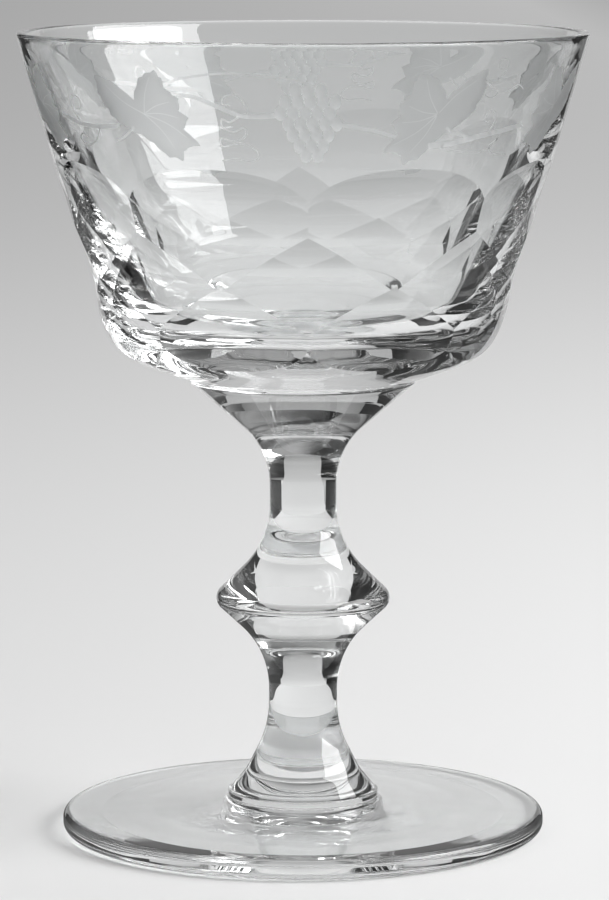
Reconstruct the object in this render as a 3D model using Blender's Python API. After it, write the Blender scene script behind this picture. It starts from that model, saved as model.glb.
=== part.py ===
"""Sherbet glass: a cut bowl, a turned stem with a knop and a spread foot, fused one on another.

Metres, +Z up. The origin is the middle of the face that the foot rests on.
"""

import math

import bmesh
import bpy

# Joins: the three gathers of glass meet face to face
JOIN_GAP = 0.0003

# Foot, from the face it rests on to the top of its boss
FOOT_RADIUS = 0.0375
FOOT_EDGE_HEIGHT = 0.0030
FOOT_EDGE_ROUNDING = 0.0012
FOOT_CROWN = 0.0015
BOSS_HEIGHT = 0.0016
BOSS_STEP = 0.0005
BOSS_ROUNDING = 0.0007
BOSS_FILLET = 0.0015
REST_RING_WIDTH = 0.0050
UNDERSIDE_HOLLOW = 0.0008

# Stem, from its base on the boss to its lip under the bowl
STEM_BASE_RADIUS = 0.0112
TOE_HEIGHT = 0.0026
TOE_RADIUS = 0.0089
TOE_FILLET = 0.0060
LOWER_FLARE_HEIGHT = 0.0070
LOWER_FLARE_FILLET = 0.0167
LOWER_WAIST_RADIUS = 0.0053
LOWER_WAIST_HEIGHT = 0.0119
KNOP_UNDERSIDE_FILLET = 0.0136
KNOP_UNDERSIDE_HEIGHT = 0.00835
KNOP_RADIUS = 0.0143
KNOP_ROUNDING = 0.0018
KNOP_SHOULDER_HEIGHT = 0.0089
KNOP_SHOULDER_FILLET = 0.0135
UPPER_WAIST_RADIUS = 0.0052
UPPER_WAIST_HEIGHT = 0.0144
UPPER_FLARE_FILLET = 0.0118
UPPER_FLARE_HEIGHT = 0.01065
LIP_RADIUS = 0.0174

# Bowl blank, from its base on the stem's lip to its rim
BOWL_HEIGHT = 0.0535
RIM_RADIUS = 0.04395
RIM_WALL = 0.0015
HEEL_RADIUS = 0.0297
HEEL_HEIGHT = 0.0045
HEEL_FILLET = 0.0100
FLOOR_THICKNESS = 0.0087
FLOOR_FILLET = 0.0080

# Cuts round the lower bowl. Heights are above the bowl's base
COLUMNS = 8
WHEEL_WIDTH = 0.0400
SCOOP_WHEEL_RADIUS = 0.0149
SCOOP_BOTTOM = 0.01765
SCOOP_TOP = 0.0349
GLASS_BEHIND_SCOOP = 0.0016
LOZENGE_WHEEL_RADIUS = 0.0182
LOZENGE_BOTTOM = 0.0100
LOZENGE_TOP = 0.0253
PETAL_WHEEL_RADIUS = 0.0182
PETAL_END_RADIUS = 0.0275
PETAL_TOP = 0.0162

# Fineness of the turned and cut faces
TURN_STEPS = 64
STEM_STEPS = 48
WHEEL_STEPS = 96
ARC_TOLERANCE = 0.00003

CRYSTAL_COLOUR = (0.93, 0.94, 0.94, 1.0)
CRYSTAL_ROUGHNESS = 0.02
CRYSTAL_IOR = 1.54


def crystal(name):
    """Clear polished lead crystal."""
    material = bpy.data.materials.new(name)
    material.use_nodes = True
    shader = material.node_tree.nodes["Principled BSDF"]
    shader.inputs["Base Color"].default_value = CRYSTAL_COLOUR
    shader.inputs["Metallic"].default_value = 0.0
    shader.inputs["Roughness"].default_value = CRYSTAL_ROUGHNESS
    shader.inputs["IOR"].default_value = CRYSTAL_IOR
    shader.inputs["Transmission Weight"].default_value = 1.0
    return material


def rounded_corner(before, corner, after, radius):
    """Points of an arc of this radius tangent to both sides of a corner, within half of each side."""
    to_before = (before[0] - corner[0], before[1] - corner[1])
    to_after = (after[0] - corner[0], after[1] - corner[1])
    length_before = math.hypot(*to_before)
    length_after = math.hypot(*to_after)
    side_before = (to_before[0] / length_before, to_before[1] / length_before)
    side_after = (to_after[0] / length_after, to_after[1] / length_after)
    cosine = side_before[0] * side_after[0] + side_before[1] * side_after[1]
    half_angle = math.acos(max(-1.0, min(1.0, cosine))) / 2
    tangent = min(radius / math.tan(half_angle), length_before / 2, length_after / 2)
    arc_radius = tangent * math.tan(half_angle)
    middle = (side_before[0] + side_after[0], side_before[1] + side_after[1])
    reach = arc_radius / math.sin(half_angle) / math.hypot(*middle)
    centre = (corner[0] + middle[0] * reach, corner[1] + middle[1] * reach)
    start = math.atan2(
        corner[1] + side_before[1] * tangent - centre[1],
        corner[0] + side_before[0] * tangent - centre[0],
    )
    end = math.atan2(
        corner[1] + side_after[1] * tangent - centre[1],
        corner[0] + side_after[0] * tangent - centre[0],
    )
    sweep = (end - start + math.pi) % (2 * math.pi) - math.pi
    step_angle = 2 * math.acos(1 - min(1.0, ARC_TOLERANCE / arc_radius))
    steps = max(2, math.ceil(abs(sweep) / step_angle))
    return [
        (
            centre[0] + arc_radius * math.cos(start + sweep * step / steps),
            centre[1] + arc_radius * math.sin(start + sweep * step / steps),
        )
        for step in range(steps + 1)
    ]


def rounded_outline(corners):
    """A profile through (radius, height, rounding) corners, its first and last on the axis."""
    outline = [corners[0][:2]]
    for before, corner, after in zip(corners, corners[1:], corners[2:]):
        if corner[2]:
            outline += rounded_corner(before, corner, after, corner[2])
        else:
            outline.append(corner[:2])
    outline.append(corners[-1][:2])
    return outline


def turned(name, corners, steps, base_height):
    """A solid of revolution about Z. Its profile runs down its outer side."""
    mesh = bpy.data.meshes.new(name)
    outline = rounded_outline(corners)
    edges = [(point, point + 1) for point in range(len(outline) - 1)]
    mesh.from_pydata([(radius, 0.0, height) for radius, height in outline], edges, [])
    piece = bpy.data.objects.new(name, mesh)
    piece.location.z = base_height
    bpy.context.scene.collection.objects.link(piece)
    turn = piece.modifiers.new("Turn", "SCREW")
    turn.axis = "Z"
    turn.steps = steps
    turn.render_steps = steps
    turn.use_merge_vertices = True
    turn.merge_threshold = 0.00001
    turn.use_smooth_shade = True
    mesh.materials.append(crystal(name + "_crystal"))
    return piece


def wheel_centre(upper, lower, wheel_radius):
    """Centre of a wheel, outside the glass, whose edge passes through two points of the blank."""
    run = (upper[0] - lower[0], upper[1] - lower[1])
    chord = math.hypot(*run)
    reach = math.sqrt(wheel_radius**2 - (chord / 2) ** 2) / chord
    return (
        (upper[0] + lower[0]) / 2 + run[1] * reach,
        (upper[1] + lower[1]) / 2 - run[0] * reach,
    )


def wall_radius(height):
    """Outer radius of the bowl's straight wall at a height above its base."""
    slope = (RIM_RADIUS - HEEL_RADIUS) / (BOWL_HEIGHT - HEEL_HEIGHT)
    return HEEL_RADIUS + slope * (height - HEEL_HEIGHT)


def base_height_at(radius):
    """Height of the bowl's underside at a radius between the stem's lip and the heel."""
    return HEEL_HEIGHT * (radius - LIP_RADIUS) / (HEEL_RADIUS - LIP_RADIUS)


def cut_row(bowl, row, upper, lower, wheel_radius, first_turn):
    """One row of hollow cuts, each left by the flat edge of a wheel that turns across the column."""
    centre_radius, centre_height = wheel_centre(upper, lower, wheel_radius)
    wheels = bpy.data.collections.new(row + "_wheels")
    bpy.context.scene.collection.children.link(wheels)
    shape = bmesh.new()
    bmesh.ops.create_cone(
        shape,
        cap_ends=True,
        segments=WHEEL_STEPS,
        radius1=wheel_radius,
        radius2=wheel_radius,
        depth=WHEEL_WIDTH,
    )
    mesh = bpy.data.meshes.new(row + "_wheel")
    shape.to_mesh(mesh)
    shape.free()
    for column in range(COLUMNS):
        turn = first_turn + column * 2 * math.pi / COLUMNS
        wheel = bpy.data.objects.new(f"{row}_wheel_{column + 1}", mesh)
        wheel.location = (
            centre_radius * math.cos(turn),
            centre_radius * math.sin(turn),
            centre_height,
        )
        wheel.rotation_euler = (math.pi / 2, 0.0, turn)
        wheel.parent = bowl
        wheel.hide_render = True
        wheel.display_type = "WIRE"
        wheels.objects.link(wheel)
    cut = bowl.modifiers.new(row, "BOOLEAN")
    cut.operation = "DIFFERENCE"
    cut.solver = "EXACT"
    cut.operand_type = "COLLECTION"
    cut.collection = wheels


for old in list(bpy.data.objects):
    bpy.data.objects.remove(old)

# Foot: a spread disc with a low boss, hollowed underneath so that it stands on a ring
boss_radius = STEM_BASE_RADIUS + BOSS_STEP
crown_height = FOOT_EDGE_HEIGHT + FOOT_CROWN
foot_height = crown_height + BOSS_HEIGHT
rest_inner_radius = FOOT_RADIUS - FOOT_EDGE_ROUNDING - REST_RING_WIDTH
foot = turned(
    "foot",
    [
        (0.0, foot_height, 0.0),
        (boss_radius, foot_height, BOSS_ROUNDING),
        (boss_radius, crown_height, BOSS_FILLET),
        (FOOT_RADIUS, FOOT_EDGE_HEIGHT, FOOT_EDGE_ROUNDING),
        (FOOT_RADIUS, 0.0, FOOT_EDGE_ROUNDING),
        (rest_inner_radius, 0.0, 0.0),
        (boss_radius, UNDERSIDE_HOLLOW, 0.0),
        (0.0, UNDERSIDE_HOLLOW, 0.0),
    ],
    TURN_STEPS,
    0.0,
)

# Stem: a solid turned rod with two waists, a double-coned knop and a lip that carries the bowl
stem_base = foot_height + JOIN_GAP
lower_waist_bottom = TOE_HEIGHT + LOWER_FLARE_HEIGHT
lower_waist_top = lower_waist_bottom + LOWER_WAIST_HEIGHT
knop_height = lower_waist_top + KNOP_UNDERSIDE_HEIGHT
upper_waist_bottom = knop_height + KNOP_SHOULDER_HEIGHT
upper_waist_top = upper_waist_bottom + UPPER_WAIST_HEIGHT
stem_height = upper_waist_top + UPPER_FLARE_HEIGHT
stem = turned(
    "stem",
    [
        (0.0, stem_height, 0.0),
        (LIP_RADIUS, stem_height, 0.0),
        (UPPER_WAIST_RADIUS, upper_waist_top, UPPER_FLARE_FILLET),
        (UPPER_WAIST_RADIUS, upper_waist_bottom, KNOP_SHOULDER_FILLET),
        (KNOP_RADIUS, knop_height, KNOP_ROUNDING),
        (LOWER_WAIST_RADIUS, lower_waist_top, KNOP_UNDERSIDE_FILLET),
        (LOWER_WAIST_RADIUS, lower_waist_bottom, LOWER_FLARE_FILLET),
        (TOE_RADIUS, TOE_HEIGHT, TOE_FILLET),
        (STEM_BASE_RADIUS, 0.0, 0.0),
        (0.0, 0.0, 0.0),
    ],
    STEM_STEPS,
    stem_base,
)

# Bowl: a thick-based cone. Its inside leaves a set thickness behind the deepest cut
bowl_base = stem_base + stem_height + JOIN_GAP
scoop_upper = (wall_radius(SCOOP_TOP), SCOOP_TOP)
scoop_lower = (wall_radius(SCOOP_BOTTOM), SCOOP_BOTTOM)
scoop_centre = wheel_centre(scoop_upper, scoop_lower, SCOOP_WHEEL_RADIUS)
inner_reach = SCOOP_WHEEL_RADIUS + GLASS_BEHIND_SCOOP
scoop_tilt = math.atan2(scoop_upper[0] - scoop_lower[0], SCOOP_TOP - SCOOP_BOTTOM)
behind_scoop = (
    scoop_centre[0] - inner_reach * math.cos(scoop_tilt),
    scoop_centre[1] + inner_reach * math.sin(scoop_tilt),
)
inner_rim_radius = RIM_RADIUS - RIM_WALL
inner_slope = (inner_rim_radius - behind_scoop[0]) / (BOWL_HEIGHT - behind_scoop[1])
floor_radius = inner_rim_radius - inner_slope * (BOWL_HEIGHT - FLOOR_THICKNESS)
bowl = turned(
    "bowl",
    [
        (0.0, FLOOR_THICKNESS, 0.0),
        (floor_radius, FLOOR_THICKNESS, FLOOR_FILLET),
        (inner_rim_radius, BOWL_HEIGHT, RIM_WALL / 2),
        (RIM_RADIUS, BOWL_HEIGHT, RIM_WALL / 2),
        (HEEL_RADIUS, HEEL_HEIGHT, HEEL_FILLET),
        (LIP_RADIUS, 0.0, 0.0),
        (0.0, 0.0, 0.0),
    ],
    TURN_STEPS,
    bowl_base,
)

# Cuts: lozenges on the eight ribs, arched scoops and heel petals on the eight panels between them
half_column = math.pi / COLUMNS
cut_row(bowl, "scoop", scoop_upper, scoop_lower, SCOOP_WHEEL_RADIUS, half_column)
cut_row(
    bowl,
    "lozenge",
    (wall_radius(LOZENGE_TOP), LOZENGE_TOP),
    (wall_radius(LOZENGE_BOTTOM), LOZENGE_BOTTOM),
    LOZENGE_WHEEL_RADIUS,
    0.0,
)
cut_row(
    bowl,
    "petal",
    (wall_radius(PETAL_TOP), PETAL_TOP),
    (PETAL_END_RADIUS, base_height_at(PETAL_END_RADIUS)),
    PETAL_WHEEL_RADIUS,
    half_column,
)
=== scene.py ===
"""Sherbet glass: a foot, a knopped stem and a cut bowl of clear lead crystal, fused one on another.

Metres, +Z up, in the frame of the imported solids.
"""

import math

import bmesh
import bpy
import numpy as np
from mathutils.geometry import delaunay_2d_cdt
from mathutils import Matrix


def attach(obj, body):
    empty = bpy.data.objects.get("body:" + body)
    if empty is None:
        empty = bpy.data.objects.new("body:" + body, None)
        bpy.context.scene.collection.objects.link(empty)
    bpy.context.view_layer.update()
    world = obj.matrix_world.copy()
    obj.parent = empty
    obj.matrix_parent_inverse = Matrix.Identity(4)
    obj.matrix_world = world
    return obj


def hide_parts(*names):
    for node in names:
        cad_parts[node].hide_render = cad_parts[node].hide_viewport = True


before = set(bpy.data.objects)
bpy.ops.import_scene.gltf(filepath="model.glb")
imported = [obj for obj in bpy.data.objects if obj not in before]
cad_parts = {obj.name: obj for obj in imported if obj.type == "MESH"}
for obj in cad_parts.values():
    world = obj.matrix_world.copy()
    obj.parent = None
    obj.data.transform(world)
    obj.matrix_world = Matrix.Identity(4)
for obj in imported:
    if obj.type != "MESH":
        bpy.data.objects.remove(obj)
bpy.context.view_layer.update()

# Foot: the spread disc that the glass stands on, of clear lead crystal.
# It is pressed from a hot gather and fire-polished, and its underside is ground
# so that it stands on a ring. Its low boss is fused to the base of the stem.

FOOT_RADIUS = 0.0375
FOOT_EDGE_HEIGHT = 0.0030
FOOT_EDGE_ROUNDING = 0.0012
FOOT_DISH_RADIUS = 0.0240
FOOT_DISH_HEIGHT = 0.0035
FOOT_DISH_ROUNDING = 0.2500
CROWN_HEIGHT = 0.0045
BOSS_RADIUS = 0.0117
BOSS_HEIGHT = 0.0061
BOSS_ROUNDING = 0.0004
BOSS_FILLET = 0.0014
REST_RING_INNER = 0.0313
UNDERSIDE_HOLLOW = 0.0008
UNDERSIDE_ROUNDING = 0.0400
STEM_BASE_RADIUS = 0.0112
FOOT_JOIN_HEIGHT = 0.00625
FOOT_STEPS = 256
RUN_PITCH = 0.0008
ARC_TURN = math.radians(2)
ARC_PITCH = 0.0002
ARC_FEWEST = 4
ON_AXIS = 1e-7
LEAD_CRYSTAL_IOR = 1.545
WAVES_PER_METRE = 110.0
WAVE_STRENGTH = 0.35
WAVE_DEPTH = 0.00004

# Finishes of the crystal, by the number that a face carries
CLEAR, FUSED, FROSTED, SATIN = range(4)


def linear(hex_colour):
    """Linear RGBA of an sRGB hex colour."""
    parts = [int(hex_colour[at : at + 2], 16) / 255 for at in (1, 3, 5)]
    return [*(c / 12.92 if c <= 0.04045 else ((c + 0.055) / 1.055) ** 2.4 for c in parts), 1.0]


def add_node(tree, kind, inputs=(), **settings):
    """Adds a node with its settings, its socket values and the links into it."""
    node = tree.nodes.new(kind)
    for name, value in settings.items():
        setattr(node, name, value)
    for socket, value in dict(inputs).items():
        if isinstance(value, bpy.types.NodeSocket):
            tree.links.new(value, node.inputs[socket])
        else:
            node.inputs[socket].default_value = value
    return node


def new_material(name):
    """An empty node material and its output node."""
    material = bpy.data.materials.new(name)
    material.use_nodes = True
    material.node_tree.nodes.clear()
    return material, material.node_tree, material.node_tree.nodes.new("ShaderNodeOutputMaterial")


# Lead crystal, polished: clear and heavy, with a bright hard surface.
# Hand polishing leaves a faint waviness, about a centimetre from crest to crest.
polished, tree, output = new_material("lead crystal, polished")
place = add_node(tree, "ShaderNodeTexCoord")
waves = add_node(
    tree,
    "ShaderNodeTexNoise",
    {"Vector": place.outputs["Object"], "Scale": WAVES_PER_METRE, "Detail": 1.0},
)
ripple = add_node(
    tree,
    "ShaderNodeBump",
    {"Strength": WAVE_STRENGTH, "Distance": WAVE_DEPTH, "Height": waves.outputs["Fac"]},
)
crystal = add_node(
    tree,
    "ShaderNodeBsdfPrincipled",
    {
        "Base Color": linear("#FAFBFB"),
        "Roughness": 0.0,
        "IOR": LEAD_CRYSTAL_IOR,
        "Transmission Weight": 1.0,
        "Normal": ripple.outputs["Normal"],
    },
)
tree.links.new(crystal.outputs["BSDF"], output.inputs["Surface"])

# Fused join: the face inside the glass where two gathers melted into one, so nothing of it shows.
fused, tree, output = new_material("lead crystal, fused join")
crystal = add_node(tree, "ShaderNodeBsdfPrincipled", {"Alpha": 0.0, "Roughness": 0.0})
tree.links.new(crystal.outputs["BSDF"], output.inputs["Surface"])


def rounded_corner(before, corner, after, radius):
    """Points of an arc tangent to both sides of a corner, two degrees apart or fewer if small."""
    to_before = np.subtract(before, corner)
    to_after = np.subtract(after, corner)
    side_before = to_before / np.linalg.norm(to_before)
    side_after = to_after / np.linalg.norm(to_after)
    half_angle = math.acos(np.clip(side_before @ side_after, -1, 1)) / 2
    tangent = min(
        radius / math.tan(half_angle),
        np.linalg.norm(to_before) / 2,
        np.linalg.norm(to_after) / 2,
    )
    arc_radius = tangent * math.tan(half_angle)
    middle = side_before + side_after
    centre = corner + middle * arc_radius / math.sin(half_angle) / np.linalg.norm(middle)
    first = corner + side_before * tangent - centre
    last = corner + side_after * tangent - centre
    start = math.atan2(first[1], first[0])
    sweep = (math.atan2(last[1], last[0]) - start + math.pi) % (2 * math.pi) - math.pi
    by_length = ARC_FEWEST + abs(sweep) * arc_radius / ARC_PITCH
    steps = math.ceil(min(abs(sweep) / ARC_TURN, by_length))
    turns = start + sweep * np.arange(steps + 1) / steps
    return [centre + arc_radius * np.array((math.cos(t), math.sin(t))) for t in turns]


def profile(corners, pitch):
    """(radius, height, finish, crease) points through (radius, height, rounding, finish) corners.

    The finish is that of the surface after the point. Straight runs are divided, so that the
    shading beside an arc stays true.
    """
    bends = []
    for index, (radius, height, rounding, finish) in enumerate(corners):
        if rounding:
            before, after = corners[index - 1][:2], corners[index + 1][:2]
            arc = rounded_corner(before, np.array((radius, height)), after, rounding)
            bends += [(*point, finish, False) for point in arc]
        else:
            bends.append((radius, height, finish, 0 < index < len(corners) - 1))
    path = []
    for here, there in zip(bends, bends[1:]):
        length = math.hypot(there[0] - here[0], there[1] - here[1])
        pieces = max(1, math.ceil(length / pitch))
        path.append(here)
        for piece in range(1, pieces):
            share = piece / pieces
            path.append(
                (
                    here[0] + share * (there[0] - here[0]),
                    here[1] + share * (there[1] - here[1]),
                    here[2],
                    False,
                )
            )
    return path + [bends[-1]]


def turned(name, path, steps, finishes):
    """A closed solid of revolution about Z. The path runs from axis to axis, down its outer side."""
    shape = bmesh.new()
    turns = [2 * math.pi * step / steps for step in range(steps)]
    rings = []
    for radius, height, _, _ in path:
        around = turns if radius > ON_AXIS else [0.0]
        rings.append(
            [shape.verts.new((radius * math.cos(t), radius * math.sin(t), height)) for t in around]
        )
    for upper, lower, point in zip(rings, rings[1:], path):
        for step in range(steps):
            after = (step + 1) % steps
            loop = [upper[step % len(upper)], lower[step % len(lower)]]
            loop += [lower[after % len(lower)], upper[after % len(upper)]]
            face = shape.faces.new(list(dict.fromkeys(loop)))
            face.smooth = True
            face.material_index = finishes.index(point[2])
    for ring, point in zip(rings, path):
        if point[3]:
            for here, there in zip(ring, ring[1:] + ring[:1]):
                shape.edges.get((here, there)).smooth = False
    mesh = bpy.data.meshes.new(name)
    shape.to_mesh(mesh)
    shape.free()
    for finish in finishes:
        mesh.materials.append({CLEAR: polished, FUSED: fused}[finish])
    piece = bpy.data.objects.new(name, mesh)
    bpy.context.scene.collection.objects.link(piece)
    return piece


foot = turned(
    "crystal_foot",
    profile(
        [
            (0.0, FOOT_JOIN_HEIGHT, 0.0, FUSED),
            (STEM_BASE_RADIUS, FOOT_JOIN_HEIGHT, 0.0, CLEAR),
            (BOSS_RADIUS, BOSS_HEIGHT, BOSS_ROUNDING, CLEAR),
            (BOSS_RADIUS, CROWN_HEIGHT, BOSS_FILLET, CLEAR),
            (FOOT_DISH_RADIUS, FOOT_DISH_HEIGHT, FOOT_DISH_ROUNDING, CLEAR),
            (FOOT_RADIUS, FOOT_EDGE_HEIGHT, FOOT_EDGE_ROUNDING, CLEAR),
            (FOOT_RADIUS, 0.0, FOOT_EDGE_ROUNDING, CLEAR),
            (REST_RING_INNER, 0.0, 0.0, CLEAR),
            (BOSS_RADIUS, UNDERSIDE_HOLLOW, UNDERSIDE_ROUNDING, CLEAR),
            (0.0, UNDERSIDE_HOLLOW, 0.0, CLEAR),
        ],
        RUN_PITCH,
    ),
    FOOT_STEPS,
    [CLEAR, FUSED],
)
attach(foot, "root")
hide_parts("foot")

# Stem: a solid rod of lead crystal between the foot and the bowl.
# It is drawn and tooled hot: a flared toe, two waists, a double-coned knop and a lip.
# Its toe is fused to the foot's boss, and its lip carries the bowl.

TOE_RADIUS = 0.0089
TOE_HEIGHT = 0.0090
TOE_FILLET = 0.0060
LOWER_WAIST_RADIUS = 0.0053
LOWER_WAIST_BOTTOM = 0.0160
LOWER_FLARE_FILLET = 0.0167
LOWER_WAIST_TOP = 0.0279
KNOP_UNDERSIDE_FILLET = 0.0136
KNOP_RADIUS = 0.0143
KNOP_HEIGHT = 0.03625
KNOP_ROUNDING = 0.0018
UPPER_WAIST_RADIUS = 0.0052
UPPER_WAIST_BOTTOM = 0.04515
KNOP_SHOULDER_FILLET = 0.0135
UPPER_WAIST_TOP = 0.05955
UPPER_FLARE_FILLET = 0.0118
LIP_RADIUS = 0.0174
LIP_HEIGHT = 0.0701
LIP_ROUNDING = 0.00025
BOWL_JOIN_RADIUS = 0.0170
BOWL_JOIN_HEIGHT = 0.07035
STEM_STEPS = 192

stem = turned(
    "crystal_stem",
    profile(
        [
            (0.0, BOWL_JOIN_HEIGHT, 0.0, FUSED),
            (BOWL_JOIN_RADIUS, BOWL_JOIN_HEIGHT, 0.0, CLEAR),
            (LIP_RADIUS, LIP_HEIGHT, LIP_ROUNDING, CLEAR),
            (UPPER_WAIST_RADIUS, UPPER_WAIST_TOP, UPPER_FLARE_FILLET, CLEAR),
            (UPPER_WAIST_RADIUS, UPPER_WAIST_BOTTOM, KNOP_SHOULDER_FILLET, CLEAR),
            (KNOP_RADIUS, KNOP_HEIGHT, KNOP_ROUNDING, CLEAR),
            (LOWER_WAIST_RADIUS, LOWER_WAIST_TOP, KNOP_UNDERSIDE_FILLET, CLEAR),
            (LOWER_WAIST_RADIUS, LOWER_WAIST_BOTTOM, LOWER_FLARE_FILLET, CLEAR),
            (TOE_RADIUS, TOE_HEIGHT, TOE_FILLET, CLEAR),
            (STEM_BASE_RADIUS, FOOT_JOIN_HEIGHT, 0.0, FUSED),
            (0.0, FOOT_JOIN_HEIGHT, 0.0, FUSED),
        ],
        RUN_PITCH,
    ),
    STEM_STEPS,
    [CLEAR, FUSED],
)
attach(stem, "root")
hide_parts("stem")

# Bowl: a flared cone of lead crystal with a thick base, fused to the lip of the stem.
# It is blown, then cut on stone wheels round its lower half: scoops, lozenges and petals in
# columns. One column is shaped here, and a rule turns it round the axis.

BOWL_BASE = 0.0705
RIM_RADIUS = 0.04395
RIM_HEIGHT = 0.0535
RIM_WALL = 0.0015
HEEL_RADIUS = 0.0297
HEEL_HEIGHT = 0.0045
HEEL_FILLET = 0.0100
FLOOR_THICKNESS = 0.0087
FLOOR_FILLET = 0.0140
# The wall thickens downwards to the cuts, by a power of the depth under the rim. Below that curve
# the inside runs straight to the fillet of the floor
WALL_AT_CUTS = 0.0040
CUTS_HEIGHT = 0.0300
SWELL = 1.3
CURVE_BOTTOM = 0.0200
CURVE_STEPS = 22
INSIDE_PITCH = 0.0012
COLUMNS = 8
# A cut's share is how much it takes of what a straight-edged wheel would, because the wheel's edge
# is hollow and follows the round of the bowl
SCOOP_WHEEL_RADIUS = 0.0149
SCOOP_BOTTOM = 0.01765
SCOOP_TOP = 0.0349
SCOOP_SHARE = 0.38
LOZENGE_WHEEL_RADIUS = 0.0182
LOZENGE_BOTTOM = 0.0100
LOZENGE_TOP = 0.0253
LOZENGE_SHARE = 0.42
PETAL_WHEEL_RADIUS = 0.0182
PETAL_TOP = 0.0162
PETAL_END_RADIUS = 0.0275
PETAL_SHARE = 0.4
VINE_BOTTOM = 0.0354
VINE_TOP = 0.0522
ROWS = {"wall": 4, "scoop": 22, "lozenge": 14, "petal": 18, "heel": 16}
RIB_STEPS = 18
PANEL_STEPS = 5
# How the lines are found along which two cuts meet
PETAL_ENDS_BETWEEN = (0.0015, 0.0095)
MEETING_MARGIN = 0.001
SEARCH_STEPS = 400
HALVINGS = 40
NO_LOZENGE = 1e-7
WELD = 0.000001

half_column = math.pi / COLUMNS
wall_slope = (RIM_RADIUS - HEEL_RADIUS) / (RIM_HEIGHT - HEEL_HEIGHT)
base_slope = HEEL_HEIGHT / (HEEL_RADIUS - LIP_RADIUS)
heel_arc = rounded_corner(
    (RIM_RADIUS, RIM_HEIGHT), np.array((HEEL_RADIUS, HEEL_HEIGHT)), (LIP_RADIUS, 0.0), HEEL_FILLET
)
join_drop = BOWL_JOIN_HEIGHT - BOWL_BASE
blank = [(RIM_RADIUS, RIM_HEIGHT), *heel_arc, (LIP_RADIUS, 0.0), (BOWL_JOIN_RADIUS, join_drop)]
blank_radii, blank_heights = np.array(blank[::-1]).T


def wall_radius(height):
    """Outer radius of the straight wall."""
    return HEEL_RADIUS + wall_slope * (height - HEEL_HEIGHT)


def blank_radius(height):
    """Outer radius of the uncut bowl."""
    return np.interp(height, blank_heights, blank_radii)


def wheel_centre(upper, lower, wheel_radius):
    """Centre of a wheel, outside the glass, whose edge passes through two points of the blank."""
    run = (upper[0] - lower[0], upper[1] - lower[1])
    chord = math.hypot(*run)
    reach = math.sqrt(wheel_radius**2 - (chord / 2) ** 2) / chord
    return (
        (upper[0] + lower[0]) / 2 + run[1] * reach,
        (upper[1] + lower[1]) / 2 - run[0] * reach,
    )


def wheel_cut(centre, wheel_radius, share, off_middle):
    """Radius of the cut's surface by height, at an angle off the middle of the cut."""

    def radius(height):
        drop = np.clip(wheel_radius**2 - (height - centre[1]) ** 2, 0.0, None)
        full = (centre[0] - np.sqrt(drop)) / math.cos(off_middle)
        return blank_radius(height) + share * (full - blank_radius(height))

    return radius


def wall_point(height):
    """Point (radius, height) on the straight wall."""
    return (wall_radius(height), height)


scoop_centre = wheel_centre(wall_point(SCOOP_TOP), wall_point(SCOOP_BOTTOM), SCOOP_WHEEL_RADIUS)
lozenge_centre = wheel_centre(
    wall_point(LOZENGE_TOP), wall_point(LOZENGE_BOTTOM), LOZENGE_WHEEL_RADIUS
)
petal_end = (PETAL_END_RADIUS, base_slope * (PETAL_END_RADIUS - LIP_RADIUS))
petal_centre = wheel_centre(wall_point(PETAL_TOP), petal_end, PETAL_WHEEL_RADIUS)


def crossing(outer, inner, low, high):
    """Lowest height between two at which the inner surface comes inside the outer one."""
    heights = np.linspace(low, high, SEARCH_STEPS)
    inside = np.nonzero(inner(heights) < outer(heights))[0]
    if not len(inside):
        return high
    if inside[0] == 0:
        return low
    low, high = heights[inside[0] - 1], heights[inside[0]]
    for _ in range(HALVINGS):
        middle = (low + high) / 2
        if inner(middle) < outer(middle):
            high = middle
        else:
            low = middle
    return high


def column_line(angle):
    """The cut surfaces up the bowl at an angle from a rib, and the heights at which they meet."""
    off_rib = min(angle, 2 * half_column - angle)
    scoop = wheel_cut(scoop_centre, SCOOP_WHEEL_RADIUS, SCOOP_SHARE, half_column - off_rib)
    petal = wheel_cut(petal_centre, PETAL_WHEEL_RADIUS, PETAL_SHARE, half_column - off_rib)
    lozenge = wheel_cut(lozenge_centre, LOZENGE_WHEEL_RADIUS, LOZENGE_SHARE, off_rib)
    petal_bottom = crossing(blank_radius, petal, *PETAL_ENDS_BETWEEN)
    petal_top = crossing(
        petal,
        lambda z: np.minimum(lozenge(z), scoop(z)),
        petal_bottom + MEETING_MARGIN,
        SCOOP_TOP,
    )
    lozenge_top = petal_top
    if lozenge(petal_top) < scoop(petal_top):
        lozenge_top = crossing(lozenge, scoop, petal_top, SCOOP_TOP)
    scoop_from = max(lozenge_top, LOZENGE_TOP - MEETING_MARGIN)
    scoop_top = crossing(scoop, blank_radius, scoop_from, VINE_BOTTOM)
    return scoop, lozenge, petal, (petal_bottom, petal_top, lozenge_top, scoop_top)


# The angle at which a lozenge ends in its side corner gets a line of its own
near, far = 0.0, half_column
for _ in range(HALVINGS):
    corner_angle = (near + far) / 2
    _, _, _, meets = column_line(corner_angle)
    if meets[2] - meets[1] > NO_LOZENGE:
        near = corner_angle
    else:
        far = corner_angle
half = list(np.linspace(0.0, corner_angle, RIB_STEPS + 1))
half += list(np.linspace(corner_angle, half_column, PANEL_STEPS + 1))[1:]
angles = half + [2 * half_column - angle for angle in half[-2::-1]]


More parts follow.
